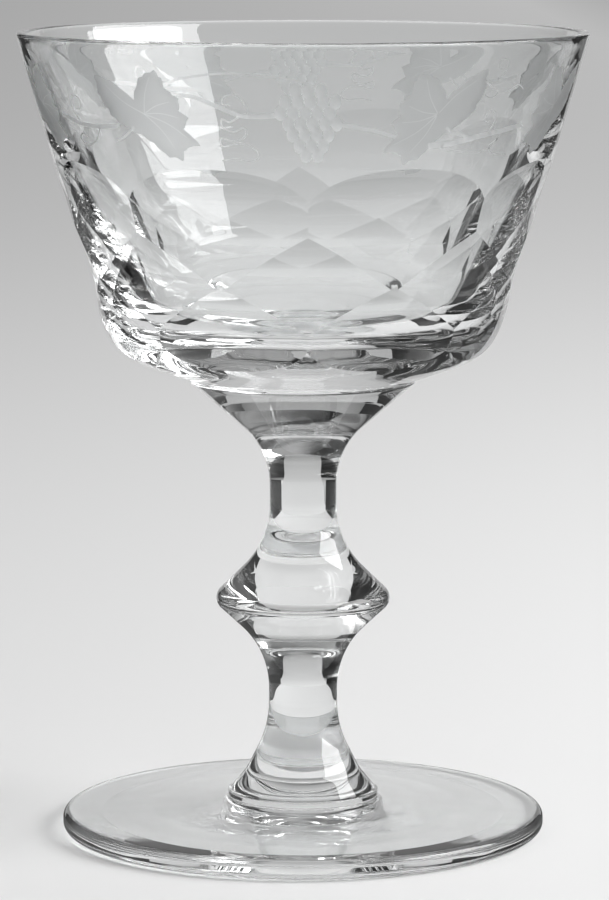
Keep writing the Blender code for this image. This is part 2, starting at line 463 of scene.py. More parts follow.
def cut_line(angle):
    """Points (radius, height) down the outside of a column, with the row at which each cut ends."""
    scoop, lozenge, petal, (petal_bottom, petal_top, lozenge_top, scoop_top) = column_line(angle)
    points = []
    for name, surface, top, bottom in (
        ("wall", blank_radius, VINE_BOTTOM, scoop_top),
        ("scoop", scoop, scoop_top, lozenge_top),
        ("lozenge", lozenge, lozenge_top, petal_top),
        ("petal", petal, petal_top, petal_bottom),
    ):
        for height in np.linspace(top, bottom, ROWS[name] + 1)[:-1]:
            points.append((float(surface(height)), height))
    below = [(r, z) for r, z in blank[1:] if z < petal_bottom]
    below = np.array([(float(blank_radius(petal_bottom)), petal_bottom), *below])
    along = np.concatenate([[0.0], np.cumsum(np.hypot(*np.diff(below, axis=0).T))])
    steps = np.linspace(0.0, along[-1], ROWS["heel"] + 1)
    points += list(zip(np.interp(steps, along, below[:, 0]), np.interp(steps, along, below[:, 1])))
    return points


tilt = math.atan(wall_slope)
inner_rim_radius = RIM_RADIUS - RIM_WALL
heights = np.linspace(CURVE_BOTTOM, RIM_HEIGHT - RIM_WALL, CURVE_STEPS)
depths = (RIM_HEIGHT - heights) / (RIM_HEIGHT - CUTS_HEIGHT)
inner_radii = wall_radius(heights) - RIM_WALL - (WALL_AT_CUTS - RIM_WALL) * depths**SWELL
inner_slope = (inner_radii[1] - inner_radii[0]) / (heights[1] - heights[0])
floor_radius = inner_radii[0] - inner_slope * (CURVE_BOTTOM - FLOOR_THICKNESS)
inside = profile(
    [
        (0.0, FLOOR_THICKNESS, 0.0, CLEAR),
        (floor_radius, FLOOR_THICKNESS, FLOOR_FILLET, CLEAR),
        *((radius, height, 0.0, CLEAR) for radius, height in zip(inner_radii, heights)),
        (inner_rim_radius, RIM_HEIGHT, RIM_WALL / 2, CLEAR),
        (RIM_RADIUS, RIM_HEIGHT, RIM_WALL / 2, CLEAR),
        (wall_radius(VINE_TOP), VINE_TOP, 0.0, CLEAR),
    ],
    INSIDE_PITCH,
)


def add_rows(shape, rows, finish):
    """Faces between rows of points across a column, from the top row down the outer side."""
    layer = shape.faces.layers.int["finish"]
    for upper, lower in zip(rows, rows[1:]):
        for step in range(len(angles) - 1):
            loop = [upper[step], lower[step], lower[step + 1], upper[step + 1]]
            loop = list(dict.fromkeys(loop))
            if len(loop) > 2:
                face = shape.faces.new(loop)
                face.smooth = True
                face[layer] = finish


def point_on(angle, radius, height):
    """Point at an angle round the axis, with its height above the bowl's base."""
    return (radius * math.cos(angle), radius * math.sin(angle), BOWL_BASE + height)


column = bmesh.new()
column.faces.layers.int.new("finish")
rows = [[column.verts.new(point_on(0.0, 0.0, FLOOR_THICKNESS))] * len(angles)]
for radius, height, _, _ in inside[1:]:
    rows.append([column.verts.new(point_on(angle, radius, height)) for angle in angles])
add_rows(column, rows, CLEAR)
lines = [cut_line(angle) for angle in angles]
rows = []
for points in zip(*lines):
    rows.append(
        [column.verts.new(point_on(angle, *point)) for angle, point in zip(angles, points)]
    )
add_rows(column, rows, CLEAR)
base_middle = column.verts.new(point_on(0.0, 0.0, join_drop))
add_rows(column, [rows[-1], [base_middle] * len(angles)], FUSED)
row_ends = np.cumsum(list(ROWS.values()))
for end in row_ends:
    for here, there in zip(rows[end], rows[end][1:]):
        column.edges.get((here, there)).smooth = False
for first, last in ((row_ends[0], row_ends[1]), (row_ends[2], row_ends[3])):
    for upper, lower in zip(rows[first:last], rows[first + 1 : last + 1]):
        for side in (0, -1):
            column.edges.get((upper[side], lower[side])).smooth = False
bmesh.ops.remove_doubles(column, verts=column.verts[:], dist=WELD)
bmesh.ops.dissolve_degenerate(column, edges=column.edges[:], dist=WELD)
column_mesh = bpy.data.meshes.new("cut_column")
column.to_mesh(column_mesh)
column.free()

# Vine: the band of leaves, grapes and tendrils engraved in the bowl under its rim, half round and
# repeated. Copper wheels hollow it a fraction of a millimetre deep and leave it frosted. It is drawn
# flat in millimetres, right of the front rib and above the bowl's base, and wrapped on the cone.

VINE_RADIUS = 0.0410
LEAF_DEPTH = 0.00016
STALK_DEPTH = 0.00014
GRAPE_DEPTH = 0.00022
VEIN_DEPTH = 0.00010
SPRAYS = 2
MM = 0.001

# Outline of a leaf about its stalk: angle from its tip in degrees, and reach in millimetres
LEAF_REACH = (
    (-178, 3.8), (-163, 4.6), (-133, 7.0), (-120, 8.7), (-103, 10.0), (-96, 7.4), (-90, 4.6),
    (-80, 2.5), (-58, 3.9), (-42, 5.7), (-22, 7.3), (2, 6.0), (24, 6.9), (34, 6.3), (46, 7.7),
    (58, 6.9), (68, 10.0), (79, 8.2), (91, 8.9), (99, 7.6), (122, 4.2), (150, 3.2), (178, 3.8),
)
LEAF_VEINS = ((-106, 7.8), (-28, 6.0), (20, 5.2), (46, 6.0), (68, 8.2), (90, 7.0))
LEAF_TEETH = 30
TOOTH_STEPS = 4
TOOTH_REST = 0.4
TOOTH_DEPTH = 0.075
TOOTH_REACH = 4.5
LEAF_EDGE = 0.45
VEIN_BOW = 0.06
VEIN_PITCH = 0.6
VEIN_HALF_WIDTHS = (0.09, 0.03)
# Place, turn in degrees, size and mirroring of each leaf
LEAVES = (
    (-53.6, 43.1, 38, 0.96, -1), (-25.6, 42.8, 42, 0.98, -1),
    (19.7, 42.9, 145, 0.97, 1), (47.0, 43.1, 144, 0.96, 1),
)
# Stalks and tendrils: half width in millimetres at the start and at the end, then points
STALKS = (
    (0.30, 0.42, ((-18.6, 45.8), (-16.2, 45.4), (-10.6, 43.2), (-7.4, 42.9), (-4.6, 43.1))),
    (0.36, 0.26, ((3.4, 42.0), (7.2, 41.2), (10.0, 40.7), (13.0, 39.8))),
    (0.48, 0.36, ((19.0, 38.3), (23.0, 38.6), (26.7, 39.2), (31.5, 39.9), (37.0, 40.6))),
    (0.20, 0.24, ((19.7, 42.9), (21.0, 41.2), (23.2, 40.0), (26.0, 39.4))),
    (0.34, 0.28, ((-31.0, 40.9), (-36.0, 40.6), (-40.0, 40.9), (-45.0, 41.9))),
    (0.22, 0.16, ((-25.6, 42.8), (-28.0, 40.8), (-30.2, 39.3), (-32.0, 38.6))),
    (0.20, 0.10, ((-18.8, 48.2), (-14.5, 48.9), (-10.6, 49.1), (-6.5, 48.8), (-2.9, 48.4),
                  (0.6, 47.4))),
    (0.16, 0.09, ((-8.8, 43.0), (-9.4, 45.0), (-10.8, 46.0), (-12.4, 45.6), (-12.5, 44.6),
                  (-11.6, 44.5))),
    (0.16, 0.09, ((-10.0, 43.0), (-11.6, 42.0), (-12.8, 42.4), (-12.8, 41.2), (-11.2, 40.6),
                  (-9.6, 41.2), (-9.4, 40.0), (-11.2, 39.2), (-13.2, 39.6), (-13.0, 38.4),
                  (-10.2, 38.9), (-8.0, 38.0), (-7.6, 36.8), (-9.2, 36.3), (-11.2, 36.6),
                  (-13.4, 36.3))),
    (0.15, 0.09, ((21.0, 37.9), (24.4, 37.3), (28.0, 37.0), (30.6, 37.6), (32.2, 39.0),
                  (31.6, 38.6), (30.4, 37.8), (31.8, 36.7), (34.8, 36.4))),
    (0.15, 0.09, ((29.6, 39.8), (30.6, 41.6), (30.0, 43.0), (28.8, 43.0), (28.4, 41.9),
                  (29.4, 41.4))),
    (0.14, 0.09, ((27.0, 47.6), (29.6, 46.2), (32.0, 46.0), (34.0, 46.8), (35.6, 46.0))),
    (0.15, 0.09, ((-40.0, 41.2), (-41.4, 43.4), (-40.4, 45.0), (-38.8, 44.6), (-39.0, 43.2),
                  (-40.2, 43.0))),
    (0.15, 0.09, ((-35.2, 40.4), (-37.0, 38.4), (-39.6, 37.8), (-41.0, 38.6), (-40.0, 39.4),
                  (-38.8, 38.6))),
    (0.22, 0.10, ((55.0, 41.0), (58.0, 39.6), (60.6, 40.2), (61.6, 42.0), (60.4, 43.2),
                  (59.0, 42.4), (59.6, 41.4))),
)
STALK_PITCH = 0.35
# Rows of the bunch of grapes: height, first grape's place and count
GRAPES = (
    (46.6, -1.9, 3), (45.0, -3.4, 5), (43.4, -4.1, 5), (41.8, -3.0, 5), (40.2, -2.4, 4),
    (38.6, -1.4, 3), (37.2, -0.4, 2),
)
GRAPE_PITCH = 1.78
GRAPE_HALF_WIDTH = 0.86
GRAPE_HALF_HEIGHT = 1.12
GRAPE_SIDES = 14
# Ground between the outlines: a grid of points that keeps clear of them
SEAM_POINTS = 13
GRID_PITCH = 0.62
GRID_LEFT = 0.6
GRID_BOTTOM = 0.7
GRID_END = 0.4
GRID_CLEARANCE = 0.34
SAME_POINT = 1e-5
NO_LENGTH = 1e-12
PLACE_DIGITS = 9
TRIANGLES_INSIDE = 1


def leaf_outline(size, turn, mirror):
    """Points of a lobed, saw-edged leaf about its stalk, and the tips of its veins."""
    knots, reaches = np.array(LEAF_REACH).T
    around = np.linspace(knots[0], knots[-1], LEAF_TEETH * TOOTH_STEPS + 1)
    at = np.clip(np.searchsorted(knots, around, side="right") - 1, 0, len(knots) - 2)
    share = (around - knots[at]) / (knots[at + 1] - knots[at])
    ease = (1 - np.cos(math.pi * share)) / 2
    reach = reaches[at] + (reaches[at + 1] - reaches[at]) * (share + ease) / 2
    tooth = (np.arange(len(around)) % TOOTH_STEPS) / TOOTH_STEPS - TOOTH_REST
    reach = reach * (1 + TOOTH_DEPTH * tooth * np.sign(around) * (reach > TOOTH_REACH)) * size
    veins = np.array(LEAF_VEINS)
    headings = np.radians(turn + mirror * around)
    outline = np.stack([reach * np.cos(headings), reach * np.sin(headings)], axis=1)
    headings = np.radians(turn + mirror * veins[:, 0])
    tips = np.stack([np.cos(headings), np.sin(headings)], axis=1) * veins[:, 1:] * size
    return outline[::mirror], tips


def smooth_line(points, pitch):
    """A line through points, eased by a spline and stepped evenly."""
    knots = np.array([points[0], *points, points[-1]])
    line = []
    for p0, p1, p2, p3 in zip(knots, knots[1:], knots[2:], knots[3:]):
        steps = max(2, math.ceil(np.linalg.norm(p2 - p1) / pitch))
        for t in np.linspace(0, 1, steps + 1)[:-1]:
            line.append(
                0.5
                * (
                    2 * p1
                    + (p2 - p0) * t
                    + (2 * p0 - 5 * p1 + 4 * p2 - p3) * t**2
                    + (3 * p1 - p0 - 3 * p2 + p3) * t**3
                )
            )
    return np.array([*line, knots[-1]])


def ribbon_sides(line, half_widths):
    """Left and right edges of a ribbon along a line."""
    ahead = np.gradient(line, axis=0)
    ahead /= np.linalg.norm(ahead, axis=1, keepdims=True)
    across = np.stack([-ahead[:, 1], ahead[:, 0]], axis=1) * half_widths[:, None]
    return line + across, line - across


def distance_to(points, start, end):
    """Distance of each point from a line's pieces, and where along them it is nearest."""
    run = end - start
    offset = points[:, None] - start[None]
    share = np.clip((offset * run).sum(2) / np.maximum((run * run).sum(1), NO_LENGTH), 0, 1)
    gap = np.linalg.norm(offset - share[..., None] * run[None], axis=2)
    nearest = gap.argmin(1)
    return gap[np.arange(len(points)), nearest], nearest


flat_points, flat_edges = [], []


def draw(outline):
    """Adds a closed outline to the flat drawing."""
    first, count = len(flat_points), len(outline)
    flat_points.extend(map(tuple, outline))
    flat_edges.extend((first + at, first + (at + 1) % count) for at in range(count))


half_turn = math.pi * VINE_RADIUS / MM
column_places = [
    turn * 2 * half_column + angle for turn in range(COLUMNS // SPRAYS) for angle in angles
]
column_places = np.unique(np.round(column_places, PLACE_DIGITS))
edge_places = column_places * VINE_RADIUS / MM - half_turn / 2
low, high = VINE_BOTTOM / MM, VINE_TOP / MM
seam_heights = np.linspace(low, high, SEAM_POINTS)
border = [(x, low) for x in edge_places]
border += [(edge_places[-1], y) for y in seam_heights[1:]]
border += [(x, high) for x in edge_places[-2::-1]]
border += [(edge_places[0], y) for y in seam_heights[-2:0:-1]]
draw(border)

grape_size = np.array((GRAPE_HALF_WIDTH, GRAPE_HALF_HEIGHT))
leaf_shapes, vein_lines, stalk_lines, grape_places = [], [], [], []
for x, y, turn, size, mirror in LEAVES:
    outline, tips = leaf_outline(size, turn, mirror)
    middle = np.array((x, y))
    draw(outline + middle)
    leaf_shapes.append(outline + middle)
    for tip in tips:
        bow = VEIN_BOW * np.array((-tip[1], tip[0]))
        line = smooth_line([middle, middle + tip / 2 + bow, middle + tip], VEIN_PITCH)
        widths = np.linspace(*VEIN_HALF_WIDTHS, len(line))
        left, right = ribbon_sides(line, widths)
        vein_lines.append((line, widths))
        draw(np.concatenate([right, left[::-1]]))
for start_width, end_width, points in STALKS:
    line = smooth_line(points, STALK_PITCH)
    widths = np.linspace(start_width, end_width, len(line))
    left, right = ribbon_sides(line, widths)
    stalk_lines.append((line, widths))
    draw(np.concatenate([right, left[::-1]]))
for height, first, count in GRAPES:
    for number in range(count):
        place = np.array((first + number * GRAPE_PITCH, height))
        grape_places.append(place)
        around = np.linspace(0, 2 * math.pi, GRAPE_SIDES + 1)[:-1]
        draw(place + grape_size * np.stack([np.cos(around), np.sin(around)], axis=1))

grid_heights = np.arange(low + GRID_BOTTOM, high - GRID_END, GRID_PITCH)
grid_places = np.arange(edge_places[0] + GRID_LEFT, edge_places[-1] - GRID_END, GRID_PITCH)
grid = np.array([(x, y) for y in grid_heights for x in grid_places])
gaps = np.min([np.linalg.norm(grid - point, axis=1) for point in np.array(flat_points)], axis=0)
flat_points.extend(map(tuple, grid[gaps > GRID_CLEARANCE]))

vertices, _, faces, _, _, _ = delaunay_2d_cdt(
    flat_points, flat_edges, [], TRIANGLES_INSIDE, SAME_POINT
)
flat = np.array([tuple(v) for v in vertices])


def inside_outline(points, outline):
    """Whether each point lies inside a closed outline."""
    x, y = points[:, 0, None], points[:, 1, None]
    x0, y0 = outline.T
    x1, y1 = np.roll(outline, -1, axis=0).T
    spans = (y0 > y) != (y1 > y)
    with np.errstate(divide="ignore", invalid="ignore"):
        hits = spans & (x < (x1 - x0) * (y - y0) / (y1 - y0) + x0)
    return hits.sum(1) % 2 == 1


def engraved(points):
    """Depth of the engraving at points of the drawing, and the finish that it leaves there."""
    depth = np.zeros(len(points))
    vein = np.zeros(len(points))
    for outline in leaf_shapes:
        gap, _ = distance_to(points, outline, np.roll(outline, -1, axis=0))
        hollow = LEAF_DEPTH * (1 - np.exp(-gap / LEAF_EDGE))
        depth = np.maximum(depth, hollow * inside_outline(points, outline))
    finish = np.where(depth > 0, FROSTED, CLEAR)
    for line, widths in stalk_lines:
        gap, nearest = distance_to(points, line[:-1], line[1:])
        hollow = STALK_DEPTH * np.clip(1 - (gap / widths[nearest]) ** 2, 0, 1)
        finish[hollow > depth] = SATIN
        depth = np.maximum(depth, hollow)
    for place in grape_places:
        share = (((points - place) / grape_size) ** 2).sum(1)
        depth = np.maximum(depth, GRAPE_DEPTH * np.clip(1 - share, 0, 1))
        finish[share < 1] = SATIN
    for line, widths in vein_lines:
        gap, nearest = distance_to(points, line[:-1], line[1:])
        vein = np.maximum(vein, np.clip(1 - gap / widths[nearest], 0, 1))
    finish[vein > 0] = SATIN
    return depth + VEIN_DEPTH * vein, finish


depth, _ = engraved(flat)
_, face_finish = engraved(np.array([flat[loop].mean(axis=0) for loop in faces]))

spray = bmesh.new()
finish_layer = spray.faces.layers.int.new("finish")
wrapped = []
for (x, y), hollow in zip(flat, depth):
    height = y * MM + hollow * math.sin(tilt)
    radius = wall_radius(y * MM) - hollow * math.cos(tilt)
    angle = -math.pi / 2 + x * MM / VINE_RADIUS
    wrapped.append(spray.verts.new(point_on(angle, radius, height)))
for loop, finish in zip(faces, face_finish):
    face = spray.faces.new([wrapped[at] for at in loop])
    face.smooth = True
    face[finish_layer] = int(finish)
for edge in spray.edges:
    if len({face[finish_layer] for face in edge.link_faces}) > 1:
        edge.smooth = False
spray_mesh = bpy.data.meshes.new("vine_spray")
spray.to_mesh(spray_mesh)
spray.free()
spray_object = bpy.data.objects.new("vine_spray", spray_mesh)
bpy.context.scene.collection.objects.link(spray_object)

# Lead crystal, wheel frosted and satin: copper wheels leave fine grey pits, which scatter the light
# and make the leaves look misty. The grapes, stalks and veins are rubbed down afterwards, and look
# satin and paler. The pits are drawn a quarter of a millimetre apart, coarser than the real tenth,
# so that they show.

PITS_PER_METRE = 4200.0
PIT_STRENGTH = 0.4
PIT_DEPTH = 0.00003


def ground_crystal(name, colour, roughness, transmission):
    """Lead crystal that a copper wheel has left matt."""
    material, tree, output = new_material(name)
    place = add_node(tree, "ShaderNodeTexCoord")
    pits = add_node(
        tree,
        "ShaderNodeTexNoise",
        {"Vector": place.outputs["Object"], "Scale": PITS_PER_METRE, "Detail": 2.0},
    )
    grain = add_node(
        tree,
        "ShaderNodeBump",
        {"Strength": PIT_STRENGTH, "Distance": PIT_DEPTH, "Height": pits.outputs["Fac"]},
    )
    crystal = add_node(
        tree,
        "ShaderNodeBsdfPrincipled",
        {
            "Base Color": linear(colour),
            "Roughness": roughness,
            "IOR": LEAD_CRYSTAL_IOR,
            "Transmission Weight": transmission,
            "Normal": grain.outputs["Normal"],
        },
    )
    tree.links.new(crystal.outputs["BSDF"], output.inputs["Surface"])
    return material


frosted = ground_crystal(
    "lead crystal, wheel frosted", colour="#D6D8D8", roughness=0.48, transmission=0.84
)
satin = ground_crystal("lead crystal, satin", colour="#EEF0F0", roughness=0.36, transmission=0.84)

# The rule of the bowl: a column of cuts goes round eight times and a spray of vine twice
RULE_WELD = 0.000004

rule = bpy.data.node_groups.new("bowl from a column and a spray", "GeometryNodeTree")
sockets = {}
for name, kind in (
    ("Column", "NodeSocketGeometry"),
    ("Columns", "NodeSocketInt"),
    ("Spray", "NodeSocketObject"),
    ("Sprays", "NodeSocketInt"),
    ("Weld", "NodeSocketFloat"),
):
    sockets[name] = rule.interface.new_socket(name, in_out="INPUT", socket_type=kind).identifier
rule.interface.new_socket("Bowl", in_out="OUTPUT", socket_type="NodeSocketGeometry")
entry = add_node(rule, "NodeGroupInput")
spray_shape = add_node(rule, "GeometryNodeObjectInfo", {"Object": entry.outputs["Spray"]})
rounds = []
for shape, count in (
    (entry.outputs["Column"], entry.outputs["Columns"]),
    (spray_shape.outputs["Geometry"], entry.outputs["Sprays"]),
):
    number = add_node(rule, "GeometryNodeInputIndex")
    step = add_node(rule, "ShaderNodeMath", {0: 2 * math.pi, 1: count}, operation="DIVIDE")
    turn = add_node(
        rule, "ShaderNodeMath", {0: number.outputs[0], 1: step.outputs[0]}, operation="MULTIPLY"
    )
    facing = add_node(
        rule, "FunctionNodeAxisAngleToRotation", {"Axis": (0, 0, 1), "Angle": turn.outputs[0]}
    )
    axis = add_node(rule, "GeometryNodePoints", {"Count": count})
    copies = add_node(
        rule,
        "GeometryNodeInstanceOnPoints",
        {"Points": axis.outputs[0], "Instance": shape, "Rotation": facing.outputs[0]},
    )
    rounds.append(add_node(rule, "GeometryNodeRealizeInstances", {"Geometry": copies.outputs[0]}))
joined = add_node(rule, "GeometryNodeJoinGeometry")
for ring in rounds:
    rule.links.new(ring.outputs[0], joined.inputs[0])
welded = add_node(
    rule,
    "GeometryNodeMergeByDistance",
    {"Geometry": joined.outputs[0], "Distance": entry.outputs["Weld"]},
)
finish_read = add_node(rule, "GeometryNodeInputNamedAttribute", {"Name": "finish"}, data_type="INT")
dressed = add_node(
    rule, "GeometryNodeSetMaterial", {"Geometry": welded.outputs[0], "Material": polished}
)
for finish, material in ((FUSED, fused), (FROSTED, frosted), (SATIN, satin)):
    chosen = add_node(
        rule,
        "FunctionNodeCompare",
        {2: finish_read.outputs[0], 3: finish},
        data_type="INT",
        operation="EQUAL",
    )
    dressed = add_node(
        rule,
        "GeometryNodeSetMaterial",
        {"Geometry": dressed.outputs[0], "Selection": chosen.outputs[0], "Material": material},
    )
add_node(rule, "NodeGroupOutput", {0: dressed.outputs[0]})

bowl = bpy.data.objects.new("crystal_bowl", column_mesh)
bpy.context.scene.collection.objects.link(bowl)
follow = bowl.modifiers.new("rule", "NODES")
follow.node_group = rule
for name, value in (
    ("Columns", COLUMNS),
    ("Spray", spray_object),
    ("Sprays", SPRAYS),
    ("Weld", RULE_WELD),
):
    follow[sockets[name]] = value
graph = bpy.context.evaluated_depsgraph_get()
bowl_mesh = bpy.data.meshes.new_from_object(bowl.evaluated_get(graph))
bowl.modifiers.remove(follow)
bowl.data = bowl_mesh
bpy.data.objects.remove(spray_object)
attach(bowl, "root")
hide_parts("bowl")

# Floor: a wide sheet of paper under the glass, matt and white, lit from the right.
# It is plain and level, and a hair below the ring that the foot stands on. Its colour carries
# painted
# shade: darker towards the left, and greyer towards the right, where the window stands close over
# it.

FLOOR_SIZE = 14.0
FLOOR_DROP = 0.0002
# Painted shade on the paper, by place across it in metres: darker towards the left, and greyer where
# the window stands close over it
PAPER_PAINTED_SHADE = ((-0.455, "#D0D0D0"), (0.30, "#F4F4F4"), (0.55, "#BFBFBF"), (0.80, "#AEAEAE"))
SHADE_PER_METRE = 0.6
SHADE_MIDDLE = 0.5
FELT_PER_METRE = 900.0
FELT_STRENGTH = 0.05
FELT_DEPTH = 0.0001


def set_tones(ramp, tones):
    """Gives a colour ramp its (place, hex colour) stops, in rising order."""
    for place, _ in tones[1:-1]:
        ramp.elements.new(place)
    for stop, (place, colour) in zip(ramp.elements, tones):
        stop.position = place
        stop.color = linear(colour)


# Matt white paper: soft, with fibres about a millimetre apart that only just show. Its colour is
# painted shade, by place across it.
paper, tree, output = new_material("white paper with painted shade")
place = add_node(tree, "ShaderNodeTexCoord")
fibres = add_node(
    tree,
    "ShaderNodeTexNoise",
    {"Vector": place.outputs["Object"], "Scale": FELT_PER_METRE, "Detail": 2.0},
)
felt = add_node(
    tree,
    "ShaderNodeBump",
    {"Strength": FELT_STRENGTH, "Distance": FELT_DEPTH, "Height": fibres.outputs["Fac"]},
)
# Painted shade: a colour ramp across the paper darkens it towards the left and where the window
# stands close
parts = add_node(tree, "ShaderNodeSeparateXYZ", {"Vector": place.outputs["Object"]})
across = add_node(
    tree,
    "ShaderNodeMath",
    {0: parts.outputs["X"], 1: SHADE_PER_METRE, 2: SHADE_MIDDLE},
    operation="MULTIPLY_ADD",
)
tone = add_node(tree, "ShaderNodeValToRGB", {"Fac": across.outputs[0]})
set_tones(
    tone.color_ramp, [(SHADE_PER_METRE * x + SHADE_MIDDLE, colour) for x, colour in PAPER_PAINTED_SHADE]
)
sheet = add_node(
    tree, "ShaderNodeBsdfDiffuse", {"Color": tone.outputs["Color"], "Normal": felt.outputs["Normal"]}
)
tree.links.new(sheet.outputs["BSDF"], output.inputs["Surface"])
floor_mesh = bpy.data.meshes.new("paper_floor")
quarters = [(-1, -1), (1, -1), (1, 1), (-1, 1)]
reach = FLOOR_SIZE / 2
floor_mesh.from_pydata(
    [(x * reach, y * reach, -FLOOR_DROP) for x, y in quarters], [], [range(len(quarters))]
)
floor_mesh.materials.append(paper)
floor = bpy.data.objects.new("paper_floor", floor_mesh)
bpy.context.scene.collection.objects.link(floor)

# Surroundings: boards that only bent and mirrored rays meet, for the room that the glass stands in.
# They glow with painted tones, painted light and shade that the glass shows as painted reflections.
# White paper widens and sweeps up behind the glass, with painted shade darker upwards. On both sides
# of it a dark table, darker at the left as painted shade, fades with distance and has a low ledge,
# and a grey sheet is all that the glass mirrors of the floor: a painted reflection, darker than the
# paper.

SHEET_HALF_WIDTH = 0.070
SHEET_SPREAD = 0.30
SPREAD_START = 0.05
SWEEP_START = 0.16
SWEEP_HEIGHT = 0.10
SWEEP_STEPS = 16
RISE_DISTANCE = 0.34
RISE_HEIGHT = 0.36
RISE_LEFT = -0.130
RISE_RIGHT = 0.155
TABLE_HALF_WIDTH = 0.42
TABLE_FRONT = -0.02
TABLE_BACK = 0.42
TABLE_FADE = (0.20, 0.42)
LEDGE_DISTANCE = 0.20
LEDGE_HEIGHT = 0.044
LEDGE_FROM = math.radians(31)
LEDGE_TO = math.radians(88)
LEDGE_STEPS = 10
MIRROR_REACH = 1.6
# Painted reflection: the tone that the glass mirrors in place of the white paper
MIRROR_PAINTED_SHADE = "#585858"
# Painted shade on the risen paper, by share of its height: darker upwards
RISE_PAINTED_SHADE = (
    (0.0, "#EAEAEA"),
    (0.04, "#DADADA"),
    (0.14, "#CACACA"),
    (0.56, "#B2B2B2"),
    (0.75, "#A4A4A4"),
    (1.0, "#7C7C7C"),
)


def board(name, corners, faces, tones, fade=None):
    """A glowing board with painted tones by height, seen only in the glass; it may fade out between
    two distances.
    """
    material, tree, output = new_material(name.replace("_", " "))
    place = add_node(tree, "ShaderNodeTexCoord")
    parts = add_node(tree, "ShaderNodeSeparateXYZ", {"Vector": place.outputs["Object"]})
    share = add_node(
        tree, "ShaderNodeMath", {0: parts.outputs["Z"], 1: RISE_HEIGHT}, operation="DIVIDE"
    )
    shade = add_node(tree, "ShaderNodeValToRGB", {"Fac": share.outputs[0]})
    set_tones(shade.color_ramp, tones)
    # Painted light: the board glows with its tones, though it is no lamp
    glow = add_node(tree, "ShaderNodeEmission", {"Color": shade.outputs["Color"], "Strength": 1.0})
    surface = glow.outputs["Emission"]
    if fade:
        away = add_node(
            tree, "ShaderNodeVectorMath", {0: place.outputs["Object"]}, operation="LENGTH"
        )
        thin = add_node(
            tree,
            "ShaderNodeMapRange",
            {"Value": away.outputs["Value"], "From Min": fade[0], "From Max": fade[1]},
            interpolation_type="SMOOTHSTEP",
        )
        open_air = add_node(tree, "ShaderNodeBsdfTransparent")
        blend = add_node(
            tree,
            "ShaderNodeMixShader",
            {0: thin.outputs["Result"], 1: surface, 2: open_air.outputs["BSDF"]},
        )
        surface = blend.outputs["Shader"]
    tree.links.new(surface, output.inputs["Surface"])
    mesh = bpy.data.meshes.new(name)
    mesh.from_pydata(corners, [], faces)
    mesh.materials.append(material)
    piece = bpy.data.objects.new(name, mesh)
    piece.visible_camera = False
    piece.visible_diffuse = False
    piece.visible_shadow = False
    bpy.context.scene.collection.objects.link(piece)
    return piece


def even(tone):
    """The same tone at every height."""
    return [(0.0, tone), (1.0, tone)]


def strips(points):
    """Faces of a band whose points come in pairs along it."""
    return [(at, at + 1, at + 3, at + 2) for at in range(0, len(points) - 2, 2)]


# Painted reflections: glowing dark tables and ledges, the left one darker, away from the window, as
# painted shade
for side, name, tone in ((-1, "dark_table_left", "#161616"), (1, "dark_table_right", "#424242")):
    far_half_width = SHEET_HALF_WIDTH + SHEET_SPREAD * (TABLE_BACK - SPREAD_START)
    corners = [
        (SHEET_HALF_WIDTH, TABLE_FRONT),
        (TABLE_HALF_WIDTH, TABLE_FRONT),
        (TABLE_HALF_WIDTH, TABLE_BACK),
        (far_half_width, TABLE_BACK),
        (SHEET_HALF_WIDTH, SPREAD_START),
    ]
    corners = [(side * x, y, -FLOOR_DROP / 2) for x, y in corners]
    board(name, corners, [range(len(corners))], even(tone), TABLE_FADE)
    ledge = []
    for turn in np.linspace(LEDGE_FROM, LEDGE_TO, LEDGE_STEPS + 1):
        x = side * LEDGE_DISTANCE * math.sin(turn)
        y = LEDGE_DISTANCE * math.cos(turn)
        ledge += [(x, y, 0.0), (x, y, LEDGE_HEIGHT)]
    board(name.replace("table", "ledge"), ledge, strips(ledge), even(tone))
# The risen sheet glows with painted shade that darkens it upwards, and only the glass shows it
sweep = []
for turn in np.linspace(0.0, math.pi / 2, SWEEP_STEPS + 1):
    y = SWEEP_START + (RISE_DISTANCE - SWEEP_START) * math.sin(turn)
    z = SWEEP_HEIGHT * (1 - math.cos(turn))
    sweep += [(RISE_LEFT, y, z), (RISE_RIGHT, y, z)]
sweep += [(RISE_LEFT, RISE_DISTANCE, RISE_HEIGHT), (RISE_RIGHT, RISE_DISTANCE, RISE_HEIGHT)]
board("risen_sheet", sweep, strips(sweep), RISE_PAINTED_SHADE)
# Painted reflection: a grey glowing sheet that mirrored rays meet instead of the white paper, so the
# glass mirrors a darker floor
mirrored = board(
    "dark_sheet_mirrored",
    [(x * MIRROR_REACH, y * MIRROR_REACH, -FLOOR_DROP / 4) for x, y in quarters],
    [range(len(quarters))],
    even(MIRROR_PAINTED_SHADE),
)
mirrored.visible_transmission = False

# Light: a large soft window at the right, and a dim room whose ceiling is pale at the right.
# Only rays that the glass bends or mirrors, before they meet anything matt, see the room's tones.
# All other rays see an even fill.

WINDOW_AZIMUTH = math.radians(82)
WINDOW_ELEVATION = math.radians(33)
WINDOW_DISTANCE = 0.90
WINDOW_WIDTH = 0.80
WINDOW_HEIGHT = 0.50
WINDOW_POWER = 8.1
WINDOW_AIM_HEIGHT = 0.07
FILL_TONE = "#C4C4C4"
# The room is darkest at the far left and palest at the near right
ROOM_TONES = ((0.0, "#141414"), (0.5, "#3A3A3A"), (1.0, "#787878"))
ROOM_MIDDLE = 0.5
ROOM_RIGHTWARDS = 0.35
ROOM_BACKWARDS = -0.25
CEILING_TONE = "#A4A4A4"
CEILING_RISE = (0.56, 0.86)
CEILING_SIDE = (-0.30, 0.15)
FIRST_MATT_BOUNCE = 0.5

